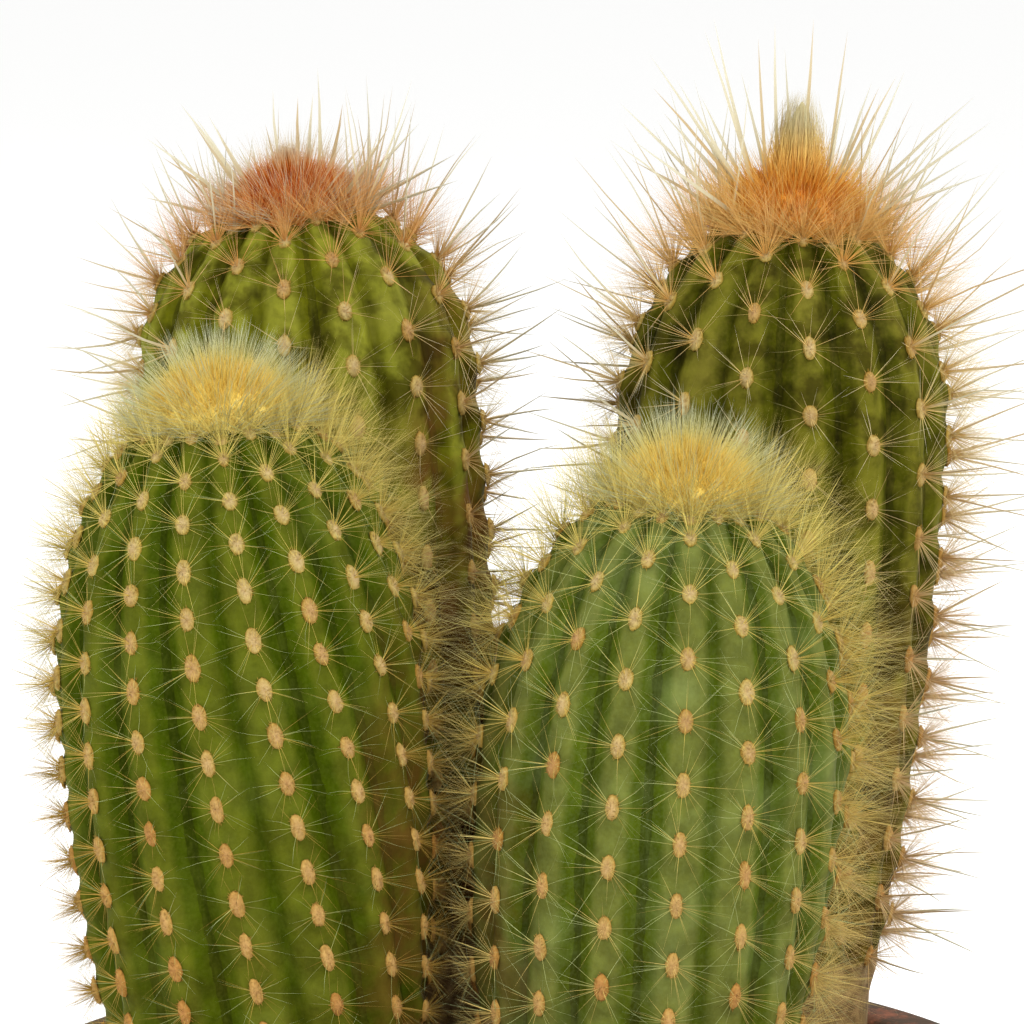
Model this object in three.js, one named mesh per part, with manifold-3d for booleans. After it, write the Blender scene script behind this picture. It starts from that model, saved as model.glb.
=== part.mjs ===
// Four columnar cacti growing together in a round clay pot. Millimetres, +Z up.
// The origin is the centre of the pot's foot, on the surface that the pot stands on.
// The front of the group, where the two shorter plants stand, faces -Y.
//
// Pieces: the pot, the soil that fills it, and for each plant its ribbed stem, with the areoles and
// spines that grow on it, and the crown of wool and young spines that sits on the stem's tip.
import * as THREE from "three";
import { mergeVertices } from "three/addons/utils/BufferGeometryUtils.js";
import Module from "manifold-3d";

const wasm = await Module();
wasm.setup();

// Clearance between pieces that rest on each other.
const GAP = 0.3;

const POT = {
  height: 165,
  rimRadius: 100, // outside of the thick band at the top
  bandHeight: 30,
  bandStep: 5, // how far the band stands out from the wall below it
  footRadius: 68,
  wall: 6,
  floor: 9,
  drainRadius: 8,
  edge: 1.5, // rounding of the rim and the foot
  sides: 36,
};

const SOIL = {
  edgeBelowRim: 2, // where the soil meets the pot's wall
  mound: 12, // height of the mound's middle above its edge
  rings: 3, // steps of the mound's curve
};

const STEM = {
  seatRadius: 13, // the flat tip that carries the crown
  grooveDepth: 2.6,
  shoulderDepth: 0.6, // how far a rib has fallen away at its shoulders
  shoulderPlace: 0.31, // from the crest, as a share of the way to the next crest
  shoulderStep: 12, // between the points down a shoulder
  grooveStep: 22, // between the points down a groove
  areoleRise: 1.3,
  plainFoot: 8, // the lowest stretch, round and without ribs
  fadeLength: 14, // over which the ribs run out into the plain foot
  fanStart: 52, // where the ribs begin to spread apart in front, from the middle of the tip
  fanLength: 68, // over which they spread fully
  buried: 28, // length inside the soil
  holeSides: 24,
};

// Each plant's place on the soil, lean of its tip to the right in degrees, height along the stem above
// the soil, widest radius, radius at the soil and height of the domed tip. Then its ribs, the distance
// between areoles along a rib, how far from the tip the front rib's row of areoles starts, and the turn
// of the front rib at the tip and per millimetre down the stem, in degrees. fan holds how many degrees the
// ribs spread on the way down, and the direction from which they spread. Last, its spines and crown.
const PLANTS = [
  {
    name: "front_left", x: -42.2, y: -31, lean: -3.8, height: 130, radius: 31.8, footRadius: 26.1, dome: 53,
    ribs: 18, pitch: 8.1, first: 2.1, turn: 1.4, twist: 0.15, fan: [19, -13], spines: [6, 11], crown: "gold", tuft: 8,
  },
  {
    name: "front_right", x: 20.6, y: -33, lean: 5, height: 114, radius: 32, footRadius: 26.3, dome: 50.5,
    ribs: 18, pitch: 10.6, first: 7.4, turn: 0.3, twist: 0.06, fan: [9, 0], spines: [7, 13], crown: "gold", tuft: 10,
  },
  {
    name: "back_left", x: -27.5, y: 35, lean: -4.9, height: 156, radius: 31, footRadius: 26.3, dome: 33,
    ribs: 16, pitch: 10.4, first: 8.4, turn: -1.9, twist: -0.05, fan: [0, 0], spines: [9, 22], crown: "rust", tuft: 7,
  },
  {
    name: "back_right", x: 44.8, y: 34, lean: 2.8, height: 156, radius: 30.6, footRadius: 22.7, dome: 43,
    ribs: 16, pitch: 11.6, first: 1.7, turn: 2.2, twist: 0.07, fan: [0, 0], spines: [9, 22], crown: "rust", tuft: 20,
  },
];

const SPINE = {
  rootRadius: 0.65,
  spread: 1.1, // most that a spine leans away from its areole's middle
  lift: 0.25, // how far it leans up the stem
  leastApart: 1.6, // between two spines of one stem
  skipEvery: 3, // one areole in this many carries no modelled spine
  tries: 5, // other directions, each a little shorter, for a spine that would touch something
  shorterBy: 0.12,
  crownSlope: 35, // degrees above level: the spines below this cone, the crown's needles above it
  crownClear: 0.6,
};

const CROWN = {
  overhang: 1.5, // how far the wool reaches past the stem's flat tip
  height: 9,
  sides: 12,
  rings: 3,
  needleRoot: 0.75,
  rise: 0.95, // how far the outermost needles rise for each unit that they reach out
};

const MATERIALS = {
  pot: new THREE.MeshStandardMaterial({ color: 0xb5693f, roughness: 0.85, metalness: 0 }),
  soil: new THREE.MeshStandardMaterial({ color: 0x3a2a1d, roughness: 1, metalness: 0 }),
  skin: new THREE.MeshStandardMaterial({ color: 0x4f6b24, roughness: 0.6, metalness: 0 }),
  gold: new THREE.MeshStandardMaterial({ color: 0xe0bb57, roughness: 0.8, metalness: 0 }),
  rust: new THREE.MeshStandardMaterial({ color: 0xb9682f, roughness: 0.8, metalness: 0 }),
};

const GOLDEN = (Math.sqrt(5) - 1) / 2;
const UP = new THREE.Vector3(0, 0, 1);
const radians = THREE.MathUtils.degToRad;

// The n-th of an evenly scattered series of numbers from 0 to 1.
const scatter = (n) => (n * GOLDEN) % 1;

// ---- Meshes as lists of points and faces ----

function meshOf(geometry) {
  const bare = geometry.clone();
  bare.deleteAttribute("normal");
  bare.deleteAttribute("uv");
  const merged = mergeVertices(bare, 1e-4);
  const place = merged.getAttribute("position");
  const points = [];
  for (let i = 0; i < place.count; i++) {
    points.push(new THREE.Vector3().fromBufferAttribute(place, i));
  }
  const faces = [];
  for (let i = 0; i < merged.index.count; i += 3) {
    const [a, b, c] = [0, 1, 2].map((k) => merged.index.getX(i + k));
    if (a !== b && b !== c && c !== a) faces.push([a, b, c]);
  }
  return { points, faces };
}

function geometryOf({ points, faces }) {
  const geometry = new THREE.BufferGeometry().setFromPoints(points);
  geometry.setIndex(faces.flat());
  geometry.computeVertexNormals();
  return geometry;
}

function solidOf(geometry) {
  const { points, faces } = meshOf(geometry);
  return new wasm.Manifold(
    new wasm.Mesh({
      numProp: 3,
      vertProperties: Float32Array.from(points.flatMap((p) => p.toArray())),
      triVerts: Uint32Array.from(faces.flat()),
    }),
  );
}

function geometryOfSolid(solid) {
  const { numProp, vertProperties, triVerts } = solid.getMesh();
  const geometry = new THREE.BufferGeometry();
  geometry.setAttribute("position", new THREE.BufferAttribute(vertProperties, numProp));
  geometry.setIndex(new THREE.BufferAttribute(triVerts, 1));
  geometry.computeVertexNormals();
  return geometry;
}

// A LatheGeometry turns about Y, so its profile is stood up to turn about +Z.
function turned(profile, sides) {
  const points = profile.map(([radius, z]) => new THREE.Vector2(radius, z));
  return new THREE.LatheGeometry(points, sides).rotateX(Math.PI / 2);
}

// ---- The pot and the soil ----

const wallRadius = (z) =>
  THREE.MathUtils.mapLinear(z, 0, POT.height, POT.footRadius, POT.rimRadius - POT.bandStep);
const insideRadius = (z) => wallRadius(z) - POT.wall;

function potGeometry() {
  const { height, rimRadius, bandHeight, edge, floor, drainRadius, sides } = POT;
  const bandFoot = height - bandHeight;
  return turned(
    [
      [drainRadius, 0],
      [POT.footRadius - edge, 0],
      [wallRadius(edge), edge],
      [wallRadius(bandFoot), bandFoot],
      [rimRadius - edge, bandFoot],
      [rimRadius, bandFoot + edge],
      [rimRadius, height - edge],
      [rimRadius - edge, height],
      [insideRadius(height) + edge, height],
      [insideRadius(height), height - edge],
      [insideRadius(floor), floor],
      [drainRadius, floor],
      [drainRadius, 0],
    ],
    sides,
  );
}

const soilEdge = POT.height - SOIL.edgeBelowRim;
const soilRadius = insideRadius(soilEdge) - GAP;

function soilHeight(x, y) {
  const share = Math.hypot(x, y) / soilRadius;
  return soilEdge + SOIL.mound * (1 - share * share);
}

// The soil fills the pot and has a plain round hole for each stem.
function soilGeometry() {
  const bottom = POT.floor + GAP;
  const top = [];
  for (let k = SOIL.rings; k >= 0; k--) {
    const radius = (soilRadius * k) / SOIL.rings;
    top.push([radius, soilHeight(radius, 0)]);
  }
  const profile = [[0, bottom], [insideRadius(bottom) - GAP, bottom], ...top];
  const holes = PLANTS.map((plant) => {
    const radius = (plant.footRadius + GAP) / Math.cos(Math.PI / STEM.holeSides);
    const foot = -STEM.buried - GAP;
    const length = SOIL.mound - foot;
    const hole = new THREE.CylinderGeometry(radius, radius, length, STEM.holeSides)
      .rotateX(Math.PI / 2)
      .translate(0, 0, foot + length / 2);
    return solidOf(hole.applyMatrix4(placeOf(plant)));
  });
  return geometryOfSolid(solidOf(turned(profile, POT.sides)).subtract(wasm.Manifold.union(holes)));
}

// ---- The stems ----

// A plant's own frame has its origin on the soil and +Z up its stem. This is where that frame stands.
function placeOf({ x, y, lean }) {
  return new THREE.Matrix4().makeRotationY(radians(lean)).setPosition(x, y, soilHeight(x, y));
}

// The outline of the rib crests, from the edge of the flat tip down to the soil, as (radius, height).
function stemOutline({ height, radius, footRadius, dome }) {
  const waist = height - dome;
  const { seatRadius, plainFoot } = STEM;
  const outline = new THREE.CurvePath();
  outline.add(new THREE.EllipseCurve(0, waist, radius, dome, Math.acos(seatRadius / radius), 0, true));
  outline.add(
    new THREE.QuadraticBezierCurve(
      new THREE.Vector2(radius, waist),
      new THREE.Vector2(radius, (waist + plainFoot) / 2),
      new THREE.Vector2(footRadius, plainFoot),
    ),
  );
  outline.add(new THREE.LineCurve(new THREE.Vector2(footRadius, plainFoot), new THREE.Vector2(footRadius, 0)));
  return outline;
}

const seatHeight = (plant) => stemOutline(plant).getPoint(0).y;

// Distances along a rib at which its areoles sit, from the middle of the tip. Rows next to each other
// are half a step apart.
function areolePlaces({ pitch, first }, rib, length) {
  const highest = STEM.seatRadius + pitch / 3;
  const lowest = length - STEM.plainFoot - pitch / 2;
  const places = [];
  for (let along = first + (rib % 2) * (pitch / 2); along < lowest; along += pitch) {
    if (along > highest) places.push(along);
  }
  return places;
}

// A ribbed stem. Each rib has columns of points down its crest, its two shoulders and the groove beside
// it, and its crest rises to a bump at each areole. Returns the mesh and the areoles' points.
function stemMesh(plant) {
  const { ribs, pitch, radius, turn, twist, fan } = plant;
  const { seatRadius, grooveDepth, shoulderDepth, shoulderPlace, areoleRise } = STEM;
  const outline = stemOutline(plant);
  const length = seatRadius + outline.getLength();
  const points = [];
  const areoles = [];

  const addPoint = (along, angle, depth) => {
    const on = outline.getPoint((along - seatRadius) / (length - seatRadius));
    const ribbed = THREE.MathUtils.smoothstep(on.y, STEM.plainFoot, STEM.plainFoot + STEM.fadeLength);
    const reach = on.x - (depth * ribbed * on.x) / radius;
    const even = radians(turn + twist * along) + angle;
    const fanned = THREE.MathUtils.clamp((along - STEM.fanStart) / STEM.fanLength, 0, 1.15);
    const around = even + fanned * radians(fan[0]) * Math.sin(even - radians(fan[1])) - Math.PI / 2;
    points.push(new THREE.Vector3(reach * Math.cos(around), reach * Math.sin(around), on.y));
    return points.length - 1;
  };

  // A column from the edge of the tip to the soil, and straight on to the buried end.
  const addColumn = (angle, depth, places, bumps = []) => {
    const column = [seatRadius, ...places, length - STEM.plainFoot].map((along) => {
      const bump = bumps.includes(along);
      if (bump) areoles.push(points.length);
      return addPoint(along, angle, bump ? depth - areoleRise : depth);
    });
    points.push(points[column.at(-1)].clone().setZ(-STEM.buried));
    return [...column, points.length - 1];
  };

  const evenly = (step) => {
    const span = length - STEM.plainFoot - seatRadius;
    const count = Math.round(span / step);
    return Array.from({ length: count - 1 }, (_, k) => seatRadius + (span * (k + 1)) / count);
  };

  const columns = [];
  const step = (2 * Math.PI) / ribs;
  for (let rib = 0; rib < ribs; rib++) {
    const bumps = areolePlaces(plant, rib, length);
    const crest = [...bumps, ...bumps.map((along) => along + pitch / 2)].sort((a, b) => a - b);
    const shoulder = evenly(STEM.shoulderStep);
    columns.push(addColumn((rib - shoulderPlace) * step, shoulderDepth, shoulder));
    columns.push(addColumn(rib * step, 0, crest, bumps));
    columns.push(addColumn((rib + shoulderPlace) * step, shoulderDepth, shoulder));
    columns.push(addColumn((rib + 0.5) * step, grooveDepth, evenly(STEM.grooveStep)));
  }
  const faces = columns.flatMap((left, k) => stripBetween(points, left, columns[(k + 1) % columns.length]));
  faces.push(...ringFaces(points, columns.map((column) => column[0]), true));
  faces.push(...ringFaces(points, columns.map((column) => column.at(-1)), false));
  return { points, faces, areoles };
}

// The faces between two columns that run down side by side, whatever the spacing of their points.
function stripBetween(points, left, right) {
  const faces = [];
  let l = 0;
  let r = 0;
  while (l < left.length - 1 || r < right.length - 1) {
    const leftDone = l === left.length - 1;
    const rightDone = r === right.length - 1;
    if (rightDone || (!leftDone && points[left[l + 1]].z >= points[right[r + 1]].z)) {
      faces.push([left[l], left[l + 1], right[r]]);
      l += 1;
    } else {
      faces.push([left[l], right[r + 1], right[r]]);
      r += 1;
    }
  }
  return faces;
}

// Closes a flat ring of points with a fan about its middle, facing up or down.
function ringFaces(points, ring, facesUp) {
  const middle = ring.reduce((sum, i) => sum.add(points[i]), new THREE.Vector3());
  const centre = points.push(middle.divideScalar(ring.length)) - 1;
  return ring.map((a, k) => {
    const b = ring[(k + 1) % ring.length];
    return facesUp ? [a, b, centre] : [b, a, centre];
  });
}

// ---- Needles ----

const faceCentre = ({ points, faces }, face) =>
  faces[face].reduce((sum, i) => sum.add(points[i]), new THREE.Vector3()).divideScalar(3);

function faceNormal({ points, faces }, face) {
  const [a, b, c] = faces[face].map((i) => points[i]);
  return b.clone().sub(a).cross(c.clone().sub(a)).normalize();
}

// Draws a three-sided needle out of a face: a small triangle in the face's middle becomes its root.
function growNeedle({ points, faces }, face, tip, rootRadius) {
  const outer = faces[face];
  const centre = faceCentre({ points, faces }, face);
  const root = outer.map((i) => {
    const corner = points[i];
    return points.push(centre.clone().lerp(corner, rootRadius / corner.distanceTo(centre))) - 1;
  });
  const end = points.push(tip) - 1;
  const made = [0, 1, 2].flatMap((k) => {
    const next = (k + 1) % 3;
    return [
      [outer[k], outer[next], root[next]],
      [outer[k], root[next], root[k]],
      [root[k], root[next], end],
    ];
  });
  faces.splice(face, 1, ...made);
}

// How far a point stands from the line up the middle of a plant's stem.
function distanceFromStem(point, plant) {
  const place = placeOf(plant);
  const foot = new THREE.Vector3().setFromMatrixPosition(place);
  return new THREE.Ray(foot, UP.clone().transformDirection(place)).distanceToPoint(point);
}

// True if a point in a plant's own frame is nearer to its stem than to any other's, and over the pot.
function onOwnSide(plant, point) {
  const there = point.clone().applyMatrix4(placeOf(plant));
  const own = distanceFromStem(there, plant);
  const overPot = Math.max(Math.abs(there.x), Math.abs(there.y)) < POT.rimRadius - GAP;
  const others = PLANTS.filter((other) => other !== plant);
  return overPot && others.every((other) => own + GAP < distanceFromStem(there, other));
}

// True if a point in a plant's own frame lies below the cone that the crown's needles keep above.
function belowCrown(plant, point) {
  const beyond = Math.hypot(point.x, point.y) - STEM.seatRadius - CROWN.overhang;
  const above = point.z - seatHeight(plant);
  return above < beyond * Math.tan(radians(SPINE.crownSlope)) - SPINE.crownClear;
}

// The least distance between two needles, from samples along one of them.
function needlesApart(one, other) {
  const line = new THREE.Line3(other.root, other.tip);
  const nearest = new THREE.Vector3();
  const samples = 12;
  let least = Infinity;
  for (let k = 0; k <= samples; k++) {
    const sample = one.root.clone().lerp(one.tip, k / samples);
    line.closestPointToPoint(sample, true, nearest);
    least = Math.min(least, nearest.distanceTo(sample));
  }
  return least;
}

// A spine from a face beside an areole. It leans away from the areole's middle, and up the stem.
function spineFrom(mesh, plant, areole, face, share) {
  const middle = mesh.points[areole];
  const root = faceCentre(mesh, face);
  const domed = Math.max(0, (middle.z - plant.height + plant.dome) / plant.dome);
  const [shortest, longest] = plant.spines;
  const direction = new THREE.Vector3(middle.x, middle.y, 0)
    .normalize()
    .multiplyScalar(1 - domed / 2)
    .addScaledVector(UP, SPINE.lift + domed / 2)
    .normalize()
    .addScaledVector(root.clone().sub(middle).normalize(), SPINE.spread * share)
    .normalize();
  const length = THREE.MathUtils.lerp(shortest, longest, (scatter(7 * areole) + domed) / 2);
  return { root, direction, length };
}

function growSpines(mesh, plant) {
  const grown = [];
  mesh.areoles.forEach((areole, n) => {
    if (n % SPINE.skipEvery === 1) return;
    const around = mesh.faces.flatMap((corners, i) => (corners.includes(areole) ? [i] : []));
    for (let attempt = 0; attempt < SPINE.tries; attempt++) {
      const face = around[Math.floor(scatter(n + attempt) * around.length)];
      const { root, direction, length } = spineFrom(mesh, plant, areole, face, scatter(3 * n + attempt));
      const tip = root.clone().addScaledVector(direction, length * (1 - SPINE.shorterBy * attempt));
      const apart = grown.every((spine) => needlesApart(spine, { root, tip }) > SPINE.leastApart);
      if (apart && onOwnSide(plant, tip) && belowCrown(plant, tip)) {
        growNeedle(mesh, face, tip, SPINE.rootRadius);
        grown.push({ root, tip });
        return;
      }
    }
  });
  return mesh;
}

// ---- The crowns ----

// A low dome of wool that rests on the flat tip, with a needle standing out of each of its faces.
function crownMesh(plant) {
  const { overhang, height, sides, rings, needleRoot, rise } = CROWN;
  const radius = STEM.seatRadius + overhang;
  const profile = [
    [0, GAP],
    [STEM.seatRadius, GAP],
  ];
  for (let k = 0; k <= rings; k++) {
    const slope = (k / rings) * (Math.PI / 2);
    profile.push([radius * Math.cos(slope), GAP + overhang + height * Math.sin(slope)]);
  }
  const mesh = meshOf(turned(profile, sides));
  const domeFaces = mesh.faces.map((_, face) => face).filter((face) => faceNormal(mesh, face).z > 0.05);
  // From the last face back, because growing a needle moves only the faces that come after its own.
  domeFaces.reverse().forEach((face, n) => {
    const root = faceCentre(mesh, face);
    const direction = new THREE.Vector3(root.x / radius, root.y / radius, rise).normalize();
    const length = plant.tuft * (0.7 + 0.65 * scatter(n));
    growNeedle(mesh, face, root.clone().addScaledVector(direction, length), needleRoot);
  });
  return mesh;
}

// ---- The whole ----

function named(name, geometry, material) {
  const mesh = new THREE.Mesh(geometry, material);
  mesh.name = name;
  return mesh;
}

const cactus = new THREE.Group();
cactus.add(named("pot", potGeometry(), MATERIALS.pot));
cactus.add(named("soil", soilGeometry(), MATERIALS.soil));
for (const plant of PLANTS) {
  const standing = new THREE.Group();
  placeOf(plant).decompose(standing.position, standing.quaternion, standing.scale);
  const spinyStem = geometryOf(growSpines(stemMesh(plant), plant));
  const crown = named(`crown_${plant.name}`, geometryOf(crownMesh(plant)), MATERIALS[plant.crown]);
  crown.position.z = seatHeight(plant);
  standing.add(named(`stem_${plant.name}`, spinyStem, MATERIALS.skin), crown);
  cactus.add(standing);
}

export default cactus;
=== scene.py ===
"""Four columnar cacti growing together in a round clay pot: the looks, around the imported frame.

Lengths are in millimetres until a mesh is made, and then in metres. A plant's own frame has its origin
on the soil and +Z up its stem, and `along` is a distance down a rib, from close to the tip's middle.
"""
import itertools
import math

import bpy
import numpy as np
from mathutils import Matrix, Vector


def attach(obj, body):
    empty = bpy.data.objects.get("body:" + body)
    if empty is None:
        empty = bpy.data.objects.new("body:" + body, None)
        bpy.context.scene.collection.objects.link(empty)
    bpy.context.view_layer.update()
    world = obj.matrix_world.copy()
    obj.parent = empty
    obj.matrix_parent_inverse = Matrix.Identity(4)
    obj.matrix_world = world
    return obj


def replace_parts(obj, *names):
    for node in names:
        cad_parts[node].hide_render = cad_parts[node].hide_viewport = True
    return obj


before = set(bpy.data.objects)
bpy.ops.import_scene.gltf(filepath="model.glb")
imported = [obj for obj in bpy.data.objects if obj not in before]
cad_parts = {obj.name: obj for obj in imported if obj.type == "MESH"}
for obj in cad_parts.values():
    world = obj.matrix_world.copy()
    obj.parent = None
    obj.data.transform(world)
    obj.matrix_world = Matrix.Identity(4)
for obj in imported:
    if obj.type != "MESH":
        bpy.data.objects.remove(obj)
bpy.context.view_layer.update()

MM = 0.001
UP = np.array([0, 0, 1.0])
GOLDEN_SHARE = 0.381966  # the golden section of one turn
GOLDEN_ANGLE = 2.399963  # the same in radians
BODY = "root"
SEED = 2024

# ---- Driving dimensions, as in the part's source ----

GAP = 0.3
POT = dict(height=165, rim=100, band=30, step=5, foot=68, wall=6, floor=9, drain=8, edge=1.5)
SOIL = dict(edge_below_rim=2, mound=12)
STEM = dict(seat=13, groove=2.6, rise=1.3, plain_foot=8, fade=14, buried=28, fan_start=52, fan_length=68)

# Place on the soil, lean to the right in degrees, height, widest radius, radius at the soil, height of
# the domed tip, ribs, pitch and start of the areoles, turn and twist of the ribs. fan holds how many
# degrees the ribs spread on the way down, and the direction from which they spread.
PLANTS = {
    "front_left": dict(
        x=-42.2, y=-31, lean=-3.8, height=130, radius=31.8, foot=26.1, dome=53,
        ribs=18, pitch=8.1, first=2.1, turn=1.4, twist=0.15, fan=(19, -13),
    ),
    "front_right": dict(
        x=20.6, y=-33, lean=5, height=114, radius=32, foot=26.3, dome=50.5,
        ribs=18, pitch=10.6, first=7.4, turn=0.3, twist=0.06, fan=(9, 0),
    ),
    "back_left": dict(
        x=-27.5, y=35, lean=-4.9, height=156, radius=31, foot=26.3, dome=33,
        ribs=16, pitch=10.4, first=8.4, turn=-1.9, twist=-0.05, fan=(0, 0),
    ),
    "back_right": dict(
        x=44.8, y=34, lean=2.8, height=156, radius=30.6, foot=22.7, dome=43,
        ribs=16, pitch=11.6, first=1.7, turn=2.2, twist=0.07, fan=(0, 0),
    ),
}

# ---- Dimensions and colours of the looks ----

FARTHEST = 104  # how far spines reach to each side of the pot's middle

# columns is for each rib, step lies between rows, groove_power is how steep the grooves are, fan_most how
# many times their full spread the ribs may spread, and a crease runs above each areole's swelling.
SKIN = dict(
    columns=14, step=1.15, groove_power=2.6, fan_most=1.15, swelling=2.9,
    crease=0.2, crease_above=3.2, crease_length=0.7, crease_width=3.2,
)
AREOLE = dict(thick=0.95, sunk=0.25, columns=14, hairs=30, hair_radius=0.09)
# shade is how far the hairs go through the crown's colours. The bristles' tips gather in clumps.
WOOL = dict(
    hairs=5200, hair_length=(1.6, 4.4), hair_radius=0.08, shade=0.6,
    bristle_radius=0.055, clumps=110, tuft_bristles=1100, long_radius=0.52,
)

# How each plant looks. Colours are sRGB, 0 to 255, one number for a grey, and in a list each has its
# place from 0 to 1. Pairs of lengths are the shortest and the longest.
# - Skin: crest, hollow and bloom are its colours on ribs, in grooves and in pale patches; the darker
#   colour in the grooves is partly painted shade. light_grooves are painted paler, as painted light, and
#   blotches are dark. It turns brown 20 to 55 mm below browning_from, by browning all round, and higher
#   up and by gap_shade on gap_side, which faces the gap between the stems, as painted shade there: 1 is
#   the right.
# - Spines: radials lie along the skin, and hairs and centrals stand out of it. Each kind has its lengths
#   near the tip and low down, and its radius in thick. in_front is the share of the hairs left in front.
#   young and old are colours near the crown and low down, and front_left's and back_left's darker
#   colour low down is painted shade. On sheltered sides they are longer.
# - Crown: the wool ends at seat and is mound high. Its colours run outward from its heart, between the
#   distances of crown_reach, and crown_flat shortens distances sideways. lean_out is its outermost lean.
FRONT = dict(
    slot="gold_wool", blotches=0.25, browning=0.1, browning_from=50,
    spine=[(0, (196, 162, 74)), (0.4, (180, 160, 78)), (0.7, (178, 168, 100)), (1, (194, 188, 142))],
    spine_tones=[(0, (190, 180, 160)), (0.6, 255)],
    radial=[(0, (184, 168, 92)), (0.3, (160, 166, 104)), (1, (162, 174, 132))],
    young=(206, 188, 100), thick=(0.029, 0.036, 0.08), hairs_each=74, centrals_each=2, in_front=0.19,
    crown=[
        (0, (236, 203, 92)), (0.35, (227, 199, 98)), (0.6, (200, 186, 108)),
        (0.85, (176, 174, 122)), (1, (170, 174, 142)),
    ],
    crown_tones=[(0, (214, 208, 196)), (0.5, 255)],
    crown_reach=(5.5, 12.5), crown_flat=0.74, lean_out=86, bristles=2200, tuft=0, long_spines=0,
)
BACK = dict(
    slot="rust_wool", blotches=0.85, browning_from=50,
    spine=[(0, (190, 154, 78)), (0.25, (202, 180, 120)), (0.6, (212, 202, 164)), (1, (220, 214, 192))],
    spine_tones=[(0, (230, 208, 180)), (0.3, (246, 238, 226)), (0.5, 255)],
    radial=[(0, (172, 142, 72)), (0.4, (150, 140, 84)), (1, (150, 146, 104))],
    young=(204, 156, 80), thick=(0.027, 0.047, 0.26), radials_each=8, centrals_each=3, in_front=0.1,
    crown_tones=[(0, (226, 204, 186)), (0.4, 255)],
    crown_flat=0.8, lean_out=82, seat=12.5,
)
LOOKS = {
    "front_left": dict(
        FRONT, crest=(86, 93, 18), hollow=(60, 75, 0), bloom=(98, 106, 38),
        # The spines' darker colour low down is painted shade.
        light_grooves=(3, 8, 12, 17), gap_shade=0.75, gap_side=1, sheltered=[(1, 0)], old=(166, 130, 54),
        radials=((6, 9), (6, 9)), radials_each=8, hairs=((8, 12), (5.5, 9)), centrals=((8, 12), (7, 10)),
        seat=12.8, mound=3.6, crown_reach=(5.2, 11.4), bristle_length=(4, 11.5),
    ),
    "front_right": dict(
        FRONT, crest=(102, 108, 44), hollow=(72, 86, 12), bloom=(114, 126, 74),
        light_grooves=(0, 5, 9, 14), gap_shade=0.6, gap_side=-1, sheltered=[(-1, 0), (1, 0)],
        old=(196, 170, 98), radials=((8, 13), (8, 13)), radials_each=12, hairs=((9, 13.5), (6.5, 10.5)),
        centrals=((9, 13), (8, 12)), seat=11.8, mound=3.8, bristle_length=(4, 13),
    ),
    "back_left": dict(
        BACK, crest=(130, 132, 38), hollow=(92, 94, 8), bloom=(112, 108, 44),
        light_grooves=(1, 7, 12, 15), browning_from=28, browning=0.9, gap_shade=0.9, gap_side=1,
        # The spines' darker colour low down is painted shade.
        sheltered=[(0.9, -0.4)], young=(194, 138, 72), old=(160, 122, 56), radials=((6, 9), (6, 9)),
        hairs=((7, 12), (5.5, 10)), hairs_each=100, centrals=((13, 20), (9, 13)),
        crown=[
            (0, (184, 72, 0)), (0.3, (186, 86, 6)), (0.5, (194, 126, 48)),
            (0.75, (192, 170, 136)), (1, (186, 180, 158)),
        ],
        crown_reach=(4.8, 12.8), mound=4.2, tuft=9, tuft_width=1.4, bristle_length=(2.5, 12), bristles=1900,
        long_spines=24, long_length=(12, 21),
    ),
    "back_right": dict(
        BACK, crest=(106, 104, 28), hollow=(70, 72, 4), bloom=(116, 104, 46),
        light_grooves=(3, 6, 10, 14), browning=0.7, gap_shade=0.7, gap_side=-1,
        sheltered=[(1, 0.2), (-1, 0)], old=(196, 166, 124), radials=((6.5, 10), (6.5, 10)),
        hairs=((8, 13), (6, 11)), hairs_each=110, centrals=((14, 22), (10, 15)),
        crown=[
            (0, (202, 120, 28)), (0.3, (206, 142, 46)), (0.5, (212, 168, 82)),
            (0.8, (192, 168, 104)), (1, (172, 162, 122)),
        ],
        crown_reach=(6.5, 17), mound=5.5, tuft=19, tuft_width=3.2, bristle_length=(3, 12), bristles=2200,
        long_spines=34, long_length=(19, 33),
    ),
}
LONG_SPINE = [(0, (182, 152, 100)), (0.3, (182, 172, 140)), (1, (186, 184, 168))]


# ---- Small tools ----


def smoothstep(value, low, high):
    share = np.clip((value - low) / (high - low), 0, 1)
    return share * share * (3 - 2 * share)


def unit(vectors):
    return vectors / np.maximum(np.linalg.norm(vectors, axis=-1, keepdims=True), 1e-9)


def sideways(points):
    """The direction of each point from the Z axis."""
    return unit(points * [1, 1, 0.0])


def around_axis(radius, angle, height):
    """Points around the Z axis. The three may have different shapes."""
    return np.stack(np.broadcast_arrays(radius * np.cos(angle), radius * np.sin(angle), height), axis=-1)


def whole_turn(columns):
    return np.arange(columns) * 2 * np.pi / columns


def grid(first, second):
    """Every pair of one value of the first list and one of the second, row by row."""
    return [values.ravel() for values in np.meshgrid(first, second, indexing="ij")]


def linear(colour):
    """An sRGB colour or grey from 0 to 255 as Blender's linear colour."""
    share = np.ones(3) * colour / 255
    made = np.where(share <= 0.04045, share / 12.92, ((share + 0.055) / 1.055) ** 2.4)
    return (*made.tolist(), 1.0)


def curve(share, start, middle, end):
    """Points on the curve from start to end that is drawn towards middle."""
    return (1 - share) ** 2 * start + 2 * share * (1 - share) * middle + share**2 * end


def ripple(points, size, seed):
    """Smooth noise from about -1 to 1, as a sum of sine waves in random directions."""
    rng = np.random.default_rng(seed)
    total = np.zeros(len(points))
    waves = 7
    for _ in range(waves):
        way = unit(rng.normal(size=3)) * 2 * np.pi / (size * rng.uniform(0.7, 1.6))
        total += np.sin(points @ way + rng.uniform(0, 2 * np.pi))
    return total / math.sqrt(waves)


def add_object(name, data):
    made = bpy.data.objects.new(name, data)
    bpy.context.scene.collection.objects.link(made)
    return made


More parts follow.
